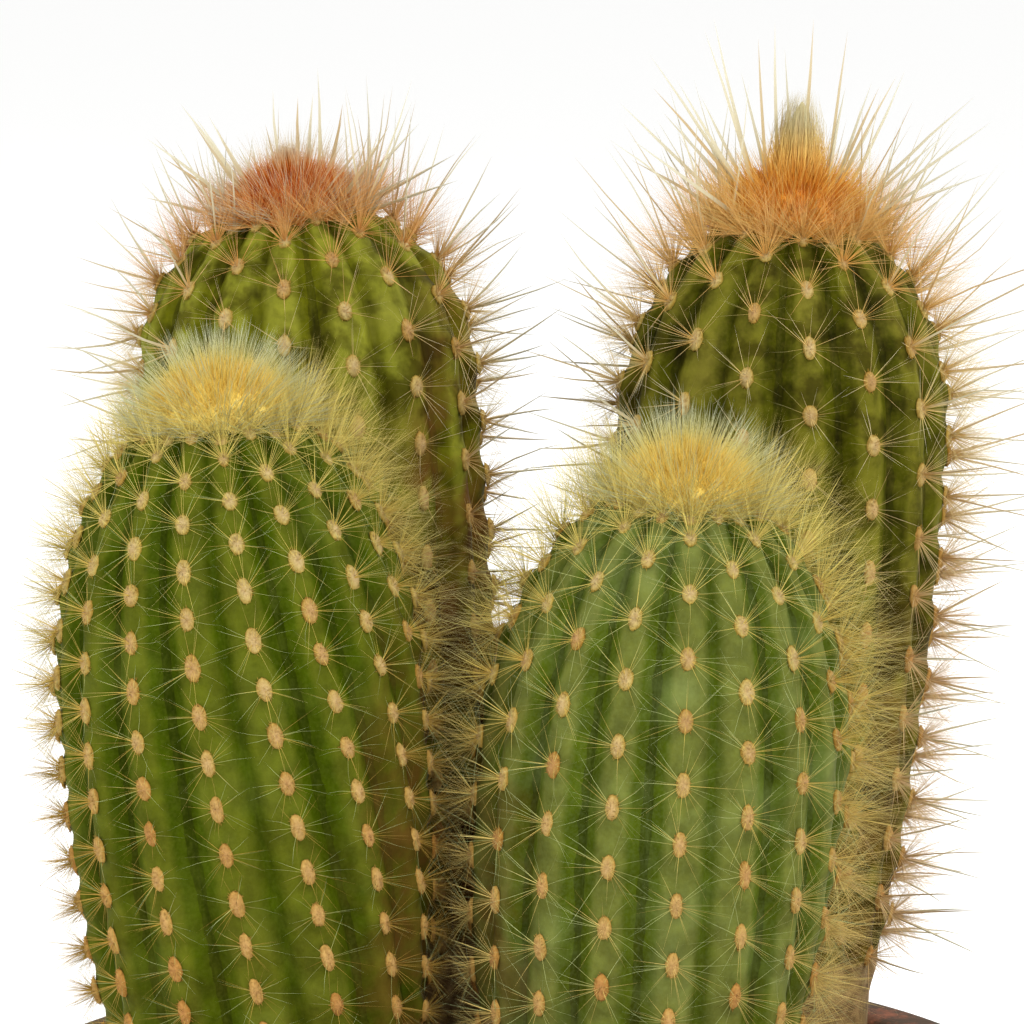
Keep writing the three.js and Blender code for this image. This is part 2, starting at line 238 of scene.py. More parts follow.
def new_piece(name, points, faces, material, attributes=None, smooth=True):
    """A mesh object that rides with the pot. points are millimetres, faces a list of index arrays."""
    mesh = bpy.data.meshes.new(name)
    corners = np.concatenate([f.ravel() for f in faces]).astype(np.int32)
    totals = np.concatenate([np.full(len(f), f.shape[1]) for f in faces]).astype(np.int32)
    mesh.vertices.add(len(points))
    mesh.vertices.foreach_set("co", (np.asarray(points) * MM).astype(np.float32).ravel())
    mesh.loops.add(len(corners))
    mesh.loops.foreach_set("vertex_index", corners)
    mesh.polygons.add(len(totals))
    mesh.polygons.foreach_set("loop_start", np.concatenate([[0], np.cumsum(totals)[:-1]]).astype(np.int32))
    mesh.polygons.foreach_set("use_smooth", np.full(len(totals), smooth))
    for key, values in (attributes or {}).items():
        made = mesh.attributes.new(key, "FLOAT", "POINT")
        made.data.foreach_set("value", np.asarray(values, dtype=np.float32))
    mesh.update(calc_edges=True)
    mesh.validate()
    piece = add_object(name, mesh)
    mesh.materials.append(material)
    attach(piece, BODY)
    return piece


def grid_faces(rows, columns, start=0):
    """Quads of a grid whose last column meets the first. They point out where the rows run downward and
    the columns anticlockwise, seen from above."""
    row = np.arange(rows - 1)[:, None] * columns
    column = np.arange(columns)[None, :]
    after = (column + 1) % columns
    quads = np.stack([row + column, row + columns + column, row + columns + after, row + after], axis=-1)
    return quads.reshape(-1, 4) + start


def fan_faces(ring, centre, faces_up):
    after = np.roll(ring, -1)
    fan = np.stack([ring, after, np.full(len(ring), centre)], axis=1)
    return fan if faces_up else fan[:, ::-1]


def closed_faces(rows, columns, start=0):
    """Faces of a grid, with fans to the two points that follow it, its top and its bottom."""
    ring = np.arange(columns) + start
    ends = start + rows * columns
    return [
        grid_faces(rows, columns, start),
        fan_faces(ring, ends, True),
        fan_faces(ring + (rows - 1) * columns, ends + 1, False),
    ]


# ---- The soil's height and the plants' places ----


def wall_radius(z):
    return POT["foot"] + (POT["rim"] - POT["step"] - POT["foot"]) * z / POT["height"]


SOIL_EDGE = POT["height"] - SOIL["edge_below_rim"]
SOIL_RADIUS = wall_radius(SOIL_EDGE) - POT["wall"] - GAP


def soil_height(x, y):
    return SOIL_EDGE + SOIL["mound"] * (1 - (x * x + y * y) / SOIL_RADIUS**2)


def frame_of(plant):
    """A plant's foot on the soil, the way to its right and the way up its stem."""
    cosine, sine = math.cos(math.radians(plant["lean"])), math.sin(math.radians(plant["lean"]))
    foot = np.array([plant["x"], plant["y"], soil_height(plant["x"], plant["y"])])
    return foot, np.array([cosine, 0, -sine]), np.array([sine, 0, cosine])


def to_pot(plant, points):
    """From a plant's own frame to the pot's."""
    foot, side, up = frame_of(plant)
    x, y, z = np.moveaxis(np.asarray(points, dtype=float)[..., None], -2, 0)
    return foot + x * side + y * [0, 1, 0] + z * up


def from_stem(plant, points):
    """How far points in the pot's frame stand from a plant's own axis, and how high along it."""
    foot, _, up = frame_of(plant)
    offset = points - foot
    high = offset @ up
    return np.linalg.norm(offset - high[..., None] * up, axis=-1), high


# ---- The ribbed skin ----


def measure_outline(plant):
    """Adds the outline of the rib crests, from the tip to the soil, to a plant's own values."""
    steps = 600
    waist = plant["height"] - plant["dome"]
    slope = np.linspace(0, np.pi / 2, steps)
    share = np.linspace(0, 1, steps)[1:]
    side_radius = plant["radius"] + (plant["foot"] - plant["radius"]) * share**2
    side_height = curve(share, waist, (waist + STEM["plain_foot"]) / 2, STEM["plain_foot"])
    radius = np.concatenate([plant["radius"] * np.sin(slope), side_radius, [plant["foot"]]])
    height = np.concatenate([waist + plant["dome"] * np.cos(slope), side_height, [0]])
    run = np.concatenate([[0], np.cumsum(np.hypot(np.diff(radius), np.diff(height)))])
    plant["along"] = run - np.interp(STEM["seat"], radius[:steps], run[:steps]) + STEM["seat"]
    plant["outline"] = radius, height
    plant["out"] = -np.gradient(height, run), np.gradient(radius, run)


def hill(down, width, length, breadth):
    """A smooth rise of height 1, at distances from its middle down and across a rib."""
    return np.exp(-((down / length) ** 2) - (width / breadth) ** 2)


def surface(plant, along, angle):
    """Points of the skin. angle is measured from the front rib, before the twist. Also returns how far
    across its rib each point lies, from -1 to 1, and how much of the ribs shows there."""
    at = [np.interp(along, plant["along"], values) for values in (*plant["outline"], *plant["out"])]
    radius, height, out_radius, out_height = at
    rib = angle * plant["ribs"] / (2 * np.pi)
    nearest = np.round(rib)
    across = 2 * (rib - nearest)
    ribbed = smoothstep(height, STEM["plain_foot"], STEM["plain_foot"] + STEM["fade"])
    groove = STEM["groove"] * np.abs(across) ** SKIN["groove_power"] * ribbed * radius / plant["radius"]
    start = plant["first"] + (nearest % 2) * plant["pitch"] / 2
    down = (along - start + plant["pitch"] / 2) % plant["pitch"] - plant["pitch"] / 2
    width = across * np.pi * radius / plant["ribs"]
    swell = STEM["rise"] * 0.75 * hill(down, width, SKIN["swelling"], SKIN["swelling"]) * ribbed
    above = down + SKIN["crease_above"]
    crease = SKIN["crease"] * hill(above, width, SKIN["crease_length"], SKIN["crease_width"]) * ribbed
    off = swell - crease - groove
    reach = radius + out_radius * off
    even = np.radians(plant["turn"] + plant["twist"] * along) + angle
    fan, middle = np.radians(plant["fan"])
    fanned = np.clip((along - STEM["fan_start"]) / STEM["fan_length"], 0, SKIN["fan_most"])
    turned = even + fanned * fan * np.sin(even - middle) - np.pi / 2
    return around_axis(reach, turned, height + out_height * off), across, ribbed


def skin_piece(name, plant, look):
    """The ribbed skin, down to its end inside the soil, with what its material needs at each point: how
    deep in a groove it lies, and how corky and how brown it is."""
    columns = plant["ribs"] * SKIN["columns"]
    top, bottom = plant["along"][[0, -1]]
    step = SKIN["step"]
    down = np.linspace(top + step / 2, bottom, round((bottom - top) / step))
    along, angle = grid(down, whole_turn(columns))
    points, across, ribbed = surface(plant, along, angle)
    wander = 0.16 * ripple(points, 17, SEED) + 0.05 * ripple(points, 4, SEED + 1)
    outward = sideways(points)
    points = points + outward * (wander * ribbed)[:, None]
    foot_ring = points[-columns:] * [1, 1, 0] + [0, 0, -STEM["buried"]]
    ends = [[0, 0, plant["height"]], [0, 0, -STEM["buried"]]]

    groove = np.floor(angle * plant["ribs"] / (2 * np.pi) + 1e-6)
    # Painted light: the grooves in light_grooves get a smaller hollow value, so they are painted paler.
    light = np.where(np.isin(groove, look["light_grooves"]), 0.62, 1)
    # Painted shade: the side that faces the gap between the stems turns brown higher up and, on the front
    # stems, more strongly.
    gapward = smoothstep(look["gap_side"] * outward[:, 0], 0.45, 0.95)
    browning = smoothstep(along + 32 * gapward, look["browning_from"] + 20, look["browning_from"] + 55)
    more = columns + len(ends)
    attributes = dict(
        hollow=np.append(np.abs(across) * (0.3 + 0.7 * ribbed) * light, np.zeros(more)),
        age=np.append(smoothstep(along, bottom - 30, bottom - 2), np.ones(more)),
        browning=np.append(browning * (look["browning"] + (look["gap_shade"] - look["browning"]) * gapward), np.ones(more)),
    )
    points = to_pot(plant, np.concatenate([points, foot_ring, ends]))
    faces = closed_faces(len(down) + 1, columns)
    return new_piece(name, points, faces, skin_material(name, look), attributes)


# ---- Areoles, spines and wool ----


def areoles_of(plant, look, rng):
    """Each areole's place on its rib, from the crown's edge down to where the ribs run out. A young one
    fills a wide gap under the crown."""
    edge = look["seat"] + 1.5
    bottom = plant["along"][-1] - STEM["plain_foot"] - plant["pitch"] / 2
    places = []
    for rib, angle in enumerate(whole_turn(plant["ribs"])):
        start = plant["first"] + (rib % 2) * plant["pitch"] / 2
        down = np.arange(start, bottom, plant["pitch"])
        down = down[down > edge]
        if down[0] > edge + 3.5:
            down = [edge, *down]
        places += [(along, angle) for along in down]
    places = np.array(places)
    places[:, 0] += rng.normal(0, 0.25, len(places))
    return places


def frames_at(plant, along, angle):
    """The skin's point at each place, with the directions out of it, up the rib and across the rib."""
    small = 0.4
    here = surface(plant, along, angle)[0]
    up = unit(surface(plant, along - small, angle)[0] - surface(plant, along + small, angle)[0])
    turn = small / 30
    across = unit(surface(plant, along, angle + turn)[0] - surface(plant, along, angle - turn)[0])
    out = unit(np.cross(across, up))
    return here, out, up, across


def strands(paths, radii):
    """Closed three-sided strands, one along each path of points, that narrow and end in a tip. radii is
    one radius or one for each. Also returns how far along its strand each point lies, from 0 to 1."""
    narrowing = 0.7
    count, steps, _ = paths.shape
    radii = np.broadcast_to(radii, count)
    way = unit(paths[:, -1] - paths[:, 0])
    level = unit(np.cross(way, np.array([0.31, 0.17, 0.93])))
    other = np.cross(way, level)
    rings = []
    for k in range(steps - 1):
        thick = radii * (1 - narrowing * k / (steps - 1))
        for angle in whole_turn(3):
            offset = level * math.cos(angle) + other * math.sin(angle)
            rings.append(paths[:, k] + offset * thick[:, None])
    rings.append(paths[:, -1])
    points = np.stack(rings, axis=1)
    per = points.shape[1]
    start = np.arange(count)[:, None] * per
    last = 3 * (steps - 2)
    sides = [(0, 1), (1, 2), (2, 0)]
    quads = [[k + a, k + b, k + 3 + b, k + 3 + a] for k in range(0, last, 3) for a, b in sides]
    tris = [[last + a, last + b, per - 1] for a, b in sides] + [[2, 1, 0]]
    faces = [(start[:, None] + np.array([tri])).reshape(-1, 3) for tri in tris]
    faces += [(start[:, None] + np.array([quad])).reshape(-1, 4) for quad in quads]
    share = np.repeat(np.arange(steps) / (steps - 1), [3] * (steps - 1) + [1])
    return points.reshape(-1, 3), faces, np.tile(share, count)


def clear_of_others(plant, roots, tips):
    """Shortens each strand whose tip would enter another plant or stand out far past the pot's rim."""
    for _ in range(7):
        there = to_pot(plant, tips)
        inside = np.max(np.abs(there[:, :2]), axis=1) > FARTHEST
        for other in [other for other in PLANTS.values() if other is not plant]:
            away, high = from_stem(other, there)
            top = other["height"] - other["dome"]
            lift = np.clip((high - top) / other["dome"], 0, 1)
            inside |= (away < other["radius"] * np.sqrt(1 - lift**2) + 1.5) & (high < other["height"])
        tips = np.where(inside[:, None], roots + (tips - roots) * 0.8, tips)
    return tips


def bent_paths(roots, tips, bend, steps, rng):
    """Paths from roots to tips that bow sideways at random."""
    share = np.linspace(0, 1, steps)[None, :, None]
    length = np.linalg.norm(tips - roots, axis=1)[:, None]
    bow = rng.normal(size=roots.shape) * length * bend
    return roots[:, None] * (1 - share) + tips[:, None] * share + bow[:, None] * share * (1 - share) * 2


def strand_piece(name, plant, paths, radii, material, slot, rng, shade=None, ages=None):
    """A piece made of strands. shade gives each point's place in the material's colours, which is
    otherwise how far along its strand it lies. ages holds how young each strand is and how low down it
    stands."""
    points, faces, share = strands(paths, radii)
    per = len(points) // len(paths)
    if shade is not None:
        share = shade(points)
    attributes = dict(share=share, tone=np.repeat(rng.uniform(0, 1, len(paths)), per))
    for key, value in (ages or {}).items():
        attributes[key] = np.repeat(value, per)
    return new_piece(name, to_pot(plant, points), faces, material, attributes, smooth=False)


def areole_piece(name, plant, places, rng):
    """A domed oval pad of felt at each areole, with short hairs all over it."""
    here, out, up, across = frames_at(plant, places[:, 0], places[:, 1])
    count = len(places)
    grown = smoothstep(places[:, 0], 12, 40)
    old = smoothstep(places[:, 0], 30, 110)
    half_length = (1.5 + 0.6 * grown + 0.35 * old) * rng.uniform(0.9, 1.1, count)
    half_width = (1.05 + 0.3 * grown - 0.15 * old) * rng.uniform(0.9, 1.1, count)
    ways_up = up * half_length[:, None]
    ways_across = across * half_width[:, None]
    thick, sunk, columns = AREOLE["thick"], AREOLE["sunk"], AREOLE["columns"]
    levels = [0.0, 0.35, 0.7, 1.0, 1.35]
    rings = []
    for level, angle in zip(*grid(levels, whole_turn(columns))):
        ring_way = ways_up * math.cos(angle) - ways_across * math.sin(angle)
        rings.append(here + ring_way * math.cos(level) + out * (thick * math.sin(level) - sunk))
    rings.append(here + out * (thick - sunk))
    rings.append(here - out * 2 * sunk)
    pads = np.stack(rings, axis=1).reshape(-1, 3)
    per = len(rings)
    parts = [
        grid_faces(len(levels), columns)[:, ::-1],
        fan_faces(np.arange(per - 2 - columns, per - 2), per - 2, True),
        fan_faces(np.arange(columns), per - 1, False),
    ]
    start = (np.arange(count) * per)[:, None, None]
    faces = [(start + part[None]).reshape(-1, part.shape[1]) for part in parts]
    pads = pads + 0.12 * unit(rng.normal(size=pads.shape))
    pad_share = np.tile(np.append(np.repeat(1 - np.array(levels) / levels[-1], columns), [0, 1]), count)

    hairs = AREOLE["hairs"]
    index = np.repeat(np.arange(count), hairs)
    angle = rng.uniform(0, 2 * np.pi, len(index))
    reach = np.sqrt(rng.uniform(0, 1, len(index)))
    on_up = (reach * np.cos(angle))[:, None]
    on_across = (reach * np.sin(angle))[:, None]
    lift = (thick * np.sqrt(np.clip(1 - reach**2, 0, 1)) - 0.4)[:, None]
    roots = here[index] + ways_up[index] * on_up + ways_across[index] * on_across + out[index] * lift
    ways = out[index] * (1.2 - reach)[:, None] + up[index] * on_up + across[index] * on_across
    ways = unit(ways + 0.35 * rng.normal(size=roots.shape))
    tips = roots + ways * rng.uniform(0.45, 0.85, len(index))[:, None]
    paths = bent_paths(roots, tips, 0.15, 2, rng)
    hair_points, hair_faces, hair_share = strands(paths, AREOLE["hair_radius"])
    hair_per = len(hair_points) // len(index)
    hair_share = np.clip(hair_share * 0.3 + np.repeat(reach, hair_per) ** 2, 0, 1)
    tones = rng.uniform(0, 1, count)
    sizes = per, hairs * hair_per
    attributes = dict(
        share=np.append(pad_share, hair_share),
        tone=np.concatenate([np.repeat(tones, size) for size in sizes]),
        old=np.concatenate([np.repeat(old, size) for size in sizes]),
    )
    points = to_pot(plant, np.concatenate([pads, hair_points]))
    faces += [part + len(pads) for part in hair_faces]
    felt = felt_material(f"felt_{name}")
    return new_piece(f"areoles_{name}", points, faces, felt, attributes)


def spine_paths(plant, look, places, kind, tilt, steps, rng):
    """Spines of one kind at every areole, leaning from the way out of the skin by an angle within tilt,
    in degrees. Radials form a fan to each side. Hairs and centrals are fewer in front and low in the gap
    between the stems. Near the crown all point up. Also returns how young each is and how low down it
    stands."""
    each = look[f"{kind}_each"]
    sides = kind == "radials"
    here, out, up, across = frames_at(plant, places[:, 0], places[:, 1])
    index = np.repeat(np.arange(len(places)), each)
    order = np.tile(np.arange(each), len(places))
    tipward = 1 - smoothstep(places[index, 0], 18, 48)
    around = unit(here[index, :2])
    neighbours = unit(np.array(look["sheltered"], dtype=float))
    beside = smoothstep(np.max(around @ neighbours.T, axis=1), 0.3, 0.9)
    in_gap = smoothstep(around[:, 0] * look["gap_side"], 0, 0.6)
    boost = 0.35 * beside * (1 - in_gap * (1 - tipward))
    if not sides:
        bare = (0, 0.7) if kind == "centrals" else (0.06, 0.9)
        facing = smoothstep(-around[:, 1], *bare)
        low = smoothstep(places[index, 0], 32, 66) * in_gap
        near_crown = 1 - smoothstep(places[index, 0], look["seat"] + 3, look["seat"] + 15)
        thin = facing * (1 - 0.7 * near_crown)
        share = 1 - facing if kind == "centrals" else 1 - (1 - look["in_front"]) * thin
        kept = order < each * share * (1 - 0.5 * low)
        index, order, tipward, boost = index[kept], order[kept], tipward[kept], boost[kept]
    count = len(index)
    if sides:
        angle = np.radians(35 + 110 * ((order * GOLDEN_SHARE) % 1) + rng.normal(0, 10, count))
        angle = np.where(order % 2 == 0, angle, -angle)
    else:
        angle = np.radians(order * 137.5) + rng.uniform(-0.6, 0.6, count)
    lean = np.radians(rng.uniform(tilt[0], tilt[1], count))
    star_up = np.cos(angle) * np.sin(lean)
    star_across = np.sin(angle) * np.sin(lean)
    ways = unit(
        out[index] * np.cos(lean)[:, None]
        + up[index] * (star_up + 0.2 * tipward + 0.04)[:, None]
        + across[index] * star_across[:, None]
    )
    upper = 1 - smoothstep(places[index, 0], 45, 90)[:, None]
    near_tip, lower = np.array(look[kind], dtype=float)
    shortest, longest = (lower + (near_tip - lower) * upper).T
    reach = (shortest + (longest - shortest) * rng.uniform(0, 1, count)) * (1 + boost)
    roots = here[index] + out[index] * 0.3
    roots = roots + (up[index] * star_up[:, None] + across[index] * star_across[:, None]) * 0.8
    tips = clear_of_others(plant, roots, roots + ways * reach[:, None])
    return bent_paths(roots, tips, 0.04, steps, rng), dict(young=tipward, old=1 - upper[:, 0])


def mound_point(plant, look, share, angle):
    """Points of the crown's low mound of wool, and the ways out of it. share is 0 at the tip's middle
    and 1 at the mound's edge."""
    along = plant["along"][0] + (look["seat"] - plant["along"][0]) * share
    here = surface(plant, along, angle)[0]
    out_radius, out_height = [np.interp(along, plant["along"], part)[..., None] for part in plant["out"]]
    out = unit(sideways(here) * out_radius + UP * out_height)
    return here + out * (look["mound"] * (1 - share**2) ** 0.75)[..., None], out


def crown_core_piece(name, plant, look, material):
    """The wool's lumpy mound itself, under its hairs, with the core of its tuft."""
    rows, columns = 18, 72
    top, out = mound_point(plant, look, *grid(np.linspace(0.04, 1, rows), whole_turn(columns)))
    top = top + out * (0.5 * ripple(top, 4.5, SEED + 3))[:, None]
    under = top[-columns:] * [0.6, 0.6, 1] - [0, 0, 2.0]
    ends = [[0, 0, plant["height"] + look["mound"]], [0, 0, float(under[:, 2].min())]]
    points = np.concatenate([top, under, ends])
    faces = closed_faces(rows + 1, columns)
    shade = crown_shade(plant, look, WOOL["shade"])(points)
    if look["tuft"]:
        tuft, more = tuft_core(plant, look, len(points))
        points = np.concatenate([points, tuft])
        shade = np.append(shade, crown_shade(plant, look)(tuft))
        faces += more
    tone = np.clip(0.5 + 0.4 * ripple(points, 3, SEED + 4), 0, 1)
    return new_piece(name, to_pot(plant, points), faces, material, dict(share=shade, tone=tone))


def crown_shade(plant, look, strength=1.0):
    """A function for the place of points in the crown's colours, by their distance from its heart."""
    inner, outer = look["crown_reach"]
    heart = np.array([0, 0, plant["height"] - 1.0])
    flat = np.array([look["crown_flat"], look["crown_flat"], 1.0])

    def shade(points):
        away = np.linalg.norm((points - heart) * flat, axis=1)
        return strength * np.clip((away - inner) / (outer - inner), 0, 1)

    return shade


def crown_paths(plant, look, count, length, kink, steps, rng, clumps=0):
    """Strands that stand out of the mound, upright in its middle and nearly level at its edge. clumps is
    the number of tufts that they form."""
    order = np.arange(count) + 0.5
    share = (order / count) ** 0.62
    angle = order * GOLDEN_ANGLE + rng.normal(0, 0.1, count)
    roots, out = mound_point(plant, look, share, angle)
    lean = np.radians(look["lean_out"] * share**1.1)
    ways = sideways(roots) * np.sin(lean)[:, None] + UP * np.cos(lean)[:, None]
    ways = unit(ways + kink * rng.normal(size=roots.shape))
    tips = roots + ways * rng.uniform(length[0], length[1], count)[:, None]
    if clumps:
        leaders = rng.choice(count, clumps, replace=False)
        nearest = np.argmin(np.linalg.norm(roots[:, None] - roots[None, leaders], axis=2), axis=1)
        pull = rng.uniform(0.1, 0.45, count)[:, None]
        tips = tips * (1 - pull) + tips[leaders][nearest] * pull
    tips = clear_of_others(plant, roots, tips)
    return bent_paths(roots - out * 0.8, tips, kink * 0.4, steps, rng)


def tuft_core(plant, look, start):
    """The closed core of the tuft that stands on the mound, with its faces."""
    rows, columns = 9, 24
    high, angle = grid(np.linspace(1, 0, rows), whole_turn(columns))
    radius = look["tuft_width"] * (0.1 + 0.5 * (1 - high**3) ** 0.5 + 0.3 * (1 - high))
    height = plant["height"] + look["mound"] - 2 + look["tuft"] * 0.86 * high
    points = around_axis(radius, angle, height)
    points = points + 0.25 * sideways(points) * ripple(points, 3, SEED + 9)[:, None]
    ends = [[0, 0, height.max()], [0, 0, height.min()]]
    return np.concatenate([points, ends]), closed_faces(rows, columns, start)


def tuft_paths(plant, look, rng):
    """Bristles that rise close together from the mound's middle, into a blunt tuft."""
    count = WOOL["tuft_bristles"]
    share = 0.36 * rng.uniform(0, 1, count) ** 0.6
    roots, out = mound_point(plant, look, share, rng.uniform(0, 2 * np.pi, count))
    high = rng.uniform(0.25, 1, count) ** 0.7
    reach = look["tuft_width"] * rng.uniform(0.2, 1.2, count) * (1.2 - 0.35 * high**2)
    tips = sideways(roots) * reach[:, None] + UP * (plant["height"] + look["mound"] - 2)
    tips[:, 2] += look["tuft"] * high
    return bent_paths(roots - out * 0.8, tips, 0.12, 4, rng)


def long_spine_paths(plant, look, rng):
    """The longest spines, around the crown. They are shed in front."""
    count = look["long_spines"]
    share = rng.uniform(0.35, 1, count)
    from_front = np.linspace(62, 298, count) + rng.normal(0, 4, count)
    roots, out = mound_point(plant, look, share, np.radians(from_front - plant["turn"]))
    lean = np.radians(4 + 70 * (share - 0.35) / 0.65 + rng.normal(0, 4, count))[:, None]
    reach = rng.uniform(*look["long_length"], count)[:, None]
    tips = roots + (sideways(roots) * np.sin(lean) + UP * np.cos(lean)) * reach
    return bent_paths(roots - out, clear_of_others(plant, roots, tips), 0.03, 4, rng)


# ---- Materials ----


class Paint:
    """A material, and short ways to add nodes to it. A value given to a node is a number, a colour or
    another node's output."""

    def __init__(self, name):
        self.material = bpy.data.materials.new(name)
        self.material.use_nodes = True
        self.nodes = self.material.node_tree.nodes
        self.shader = self.nodes["Principled BSDF"]

    def give(self, value, socket):
        if hasattr(value, "is_output"):
            self.material.node_tree.links.new(value, socket)
        else:
            socket.default_value = linear(value) if isinstance(value, tuple) else value

    def add(self, kind, **settings):
        node = self.nodes.new(kind)
        for key, value in settings.items():
            if key in node.inputs:
                self.give(value, node.inputs[key])
            else:
                setattr(node, key, value)
        return node

    def attribute(self, name):
        return self.add("ShaderNodeAttribute", attribute_name=name).outputs["Fac"]

    def where(self):
        return self.add("ShaderNodeTexCoord").outputs["Object"]

    def noise(self, scale, detail=3, rough=0.55):
        settings = dict(Scale=scale, Detail=detail, Roughness=rough, Vector=self.where())
        return self.add("ShaderNodeTexNoise", **settings).outputs["Fac"]

    def ramp(self, factor, *stops):
        node = self.add("ShaderNodeValToRGB", Fac=factor)
        elements = node.color_ramp.elements
        while len(elements) < len(stops):
            elements.new(0.5)
        for element, (place, colour) in zip(elements, stops):
            element.position = place
            element.color = linear(colour)
        return node.outputs["Color"]

    def mix(self, factor, first, second, blend="MIX"):
        node = self.add("ShaderNodeMix", data_type="RGBA", blend_type=blend)
        sockets = [socket for socket in node.inputs if socket.enabled]
        for value, socket in zip((factor, first, second), sockets):
            self.give(value, socket)
        return next(socket for socket in node.outputs if socket.enabled)

    def darken(self, first, second, factor=1.0):
        return self.mix(factor, first, second, "MULTIPLY")

    def calculate(self, operation, first, second):
        node = self.add("ShaderNodeMath", operation=operation)
        self.give(first, node.inputs[0])
        self.give(second, node.inputs[1])
        return node.outputs["Value"]

    def product(self, first, second):
        return self.calculate("MULTIPLY", first, second)

    def bump(self, height, distance, strength, before=None):
        node = self.add("ShaderNodeBump", Strength=strength, Distance=distance, Height=height)
        if before is not None:
            self.give(before, node.inputs["Normal"])
        self.give(node.outputs["Normal"], self.shader.inputs["Normal"])
        return node.outputs["Normal"]

    def finish(self, colour, rough, shine=0.5):
        self.give(colour, self.shader.inputs["Base Color"])
        self.shader.inputs["Roughness"].default_value = rough
        self.shader.inputs["Specular IOR Level"].default_value = shine
        return self.material


def skin_material(name, look):
    """Matt green skin: lighter ribs, dark grooves that are partly painted shade, pale patches, brown low
    down and as painted shade on the side that faces the gap between the stems, dark blotches, and cork
    near the soil."""
    paint = Paint(name)
    crest, hollow, bloom = look["crest"], look["hollow"], look["bloom"]
    # The ribs are lighter and the grooves darker, partly the skin's own colour and partly painted shade;
    # the darkest colour, at the groove bottoms, is painted shade.
    groove_bottom_shade = tuple(round(0.8 * part) for part in hollow)
    waver = paint.product(paint.noise(180), 0.3)
    across = paint.calculate("ADD", paint.attribute("hollow"), waver)
    green = paint.ramp(across, (0.5, crest), (0.72, hollow), (1, hollow), (1, groove_bottom_shade))
    mottle = paint.ramp(paint.noise(260, 4), (0.32, 96), (0.7, 168))
    green = paint.mix(0.6, green, mottle, "OVERLAY")
    patches = paint.ramp(paint.noise(70), (0.5, 0), (0.72, 255))
    green = paint.mix(paint.product(patches, 0.3), green, bloom)
    specks = paint.ramp(paint.noise(1500, 2), (0.4, 0), (0.65, 255))
    green = paint.mix(paint.product(specks, 0.1), green, bloom)
    brown = paint.ramp(paint.noise(85, 4), (0.36, 60), (0.6, 255))
    # Brown low down, and as painted shade higher up and browner on the side that faces the gap between the
    # stems.
    green = paint.mix(paint.product(paint.attribute("browning"), brown), green, (84, 52, 22))
    dark = paint.ramp(paint.noise(150, 4), (0.38, (140, 132, 110)), (0.56, 255))
    green = paint.darken(green, dark, look["blotches"])
    edge = paint.calculate("ADD", paint.attribute("age"), paint.noise(80, 5, 0.65))
    cork = paint.ramp(edge, (0.85, 0), (1, 235))
    bark = paint.ramp(paint.noise(420, 4), (0.3, (84, 62, 38)), (0.7, (140, 112, 74)))
    paint.bump(paint.noise(900), 0.0002, 0.5)
    return paint.finish(paint.mix(cork, green, bark), 0.6, 0.02)


def strand_material(name, colours, tones, ages=None):
    """Spines, bristles or wool. Each strand has its own tone, and ages holds the colours of young ones and
    of ones low down, where front_left's and back_left's darker colour is painted shade."""
    paint = Paint(name)
    colour = paint.ramp(paint.attribute("share"), *colours)
    # Colours near the crown and low down; front_left's and back_left's darker colour low down is painted
    # shade.
    for key, aged in (ages or {}).items():
        colour = paint.mix(paint.product(paint.attribute(key), 0.85), colour, aged)
    tone = paint.ramp(paint.attribute("tone"), *tones)
    return paint.finish(paint.darken(colour, tone), 0.6, 0.2)


def felt_material(name):
    """The areoles' felt, cream in the middle, golden at the edge and more orange on old ones."""
    paint = Paint(name)
    share = paint.attribute("share")
    felt = paint.ramp(share, (0, (171, 151, 107)), (0.45, (167, 149, 92)), (0.9, (160, 136, 56)))
    felt = paint.mix(paint.product(paint.attribute("old"), 0.65), felt, (172, 129, 68))
    tone = paint.ramp(paint.attribute("tone"), (0, (238, 216, 200)), (0.6, 255))
    spots = paint.ramp(paint.noise(1400), (0.3, (220, 210, 200)), (0.7, 255))
    paint.bump(paint.noise(2600), 0.0002, 0.6)
    return paint.finish(paint.darken(paint.darken(felt, tone), spots), 0.9, 0.1)


def soil_material():
    paint = Paint("soil")
    crumbs = paint.noise(330, 6, 0.7)
    dark = paint.ramp(crumbs, (0.3, (34, 22, 14)), (0.55, (76, 54, 34)), (0.78, (122, 92, 60)))
    damp = paint.ramp(paint.noise(22), (0.35, 150), (0.7, 255))
    paint.bump(crumbs, 0.0015, 0.9)
    return paint.finish(paint.darken(dark, damp), 0.95)


def grain_material(name, stops):
    paint = Paint(name)
    colour = paint.ramp(paint.attribute("tone"), *stops)
    mottle = paint.ramp(paint.noise(800, 4), (0.3, (165, 160, 155)), (0.7, 255))
    paint.bump(paint.noise(1500, 4), 0.0004, 0.8)
    return paint.finish(paint.darken(colour, mottle), 0.9)


